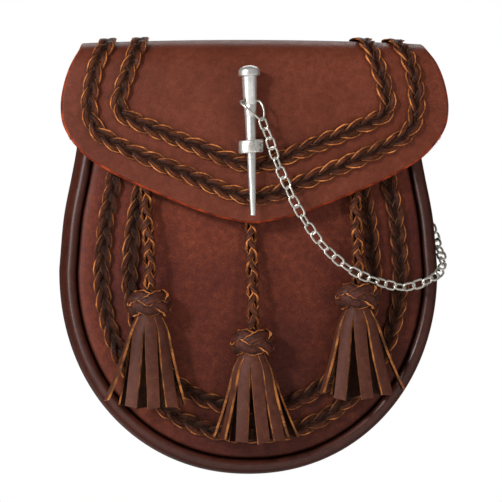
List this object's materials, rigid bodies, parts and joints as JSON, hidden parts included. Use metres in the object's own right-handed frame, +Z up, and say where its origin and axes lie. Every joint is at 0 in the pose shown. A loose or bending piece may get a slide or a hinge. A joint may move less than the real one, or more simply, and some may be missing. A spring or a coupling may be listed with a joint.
{
  "type": "sporran pouch",
  "caption": "Rounded leather sporran pouch with a pointed flap, plaited lace trim, hanging tassels, and a metal peg on a safety chain that locks the flap.",
  "frame": {"origin": "on the outer face of the back panel, midway between the two D rings that the waist strap holds", "axes": "+X to the wearer's left (the viewer's right), +Y back into the wearer, +Z up; the front faces -Y"},
  "size_m": [0.1961, 0.068, 0.2195],
  "materials": {
    "flap_leather": "smooth red-brown, semi-gloss, raw orange cut edge",
    "front_leather": "smooth dark red-brown, mottled, semi-gloss",
    "rim_leather": "dark chocolate, glossy",
    "lace_leather": "dark brown lace with tan cut edges",
    "strip_leather": "dull brown with tan cut edges",
    "peg_metal": "satin",
    "chain_metal": "bright"
  },
  "bodies": {
    "root": {"back_panel": "rim_leather", "gusset": "rim_leather", "front_panel": "front_leather", "flap": "flap_leather", "flap_braid_outer": "lace_leather", "flap_braid_inner": "lace_leather", "front_braid_outer": "lace_leather", "front_braid_inner": "lace_leather", "tassel_cord_left": "lace_leather", "tassel_cord_middle": "lace_leather", "tassel_cord_right": "lace_leather", "tassel_knot_left": "lace_leather", "tassel_knot_middle": "lace_leather", "tassel_knot_right": "lace_leather", "tassel_left": "strip_leather", "tassel_middle": "strip_leather", "tassel_right": "strip_leather", "peg": "peg_metal", "staple": "peg_metal", "chain": "chain_metal", "hang_ring_left": "chain_metal", "hang_ring_right": "chain_metal", "hang_tab_left": "rim_leather", "hang_tab_right": "rim_leather"}
  },
  "joints": []
}
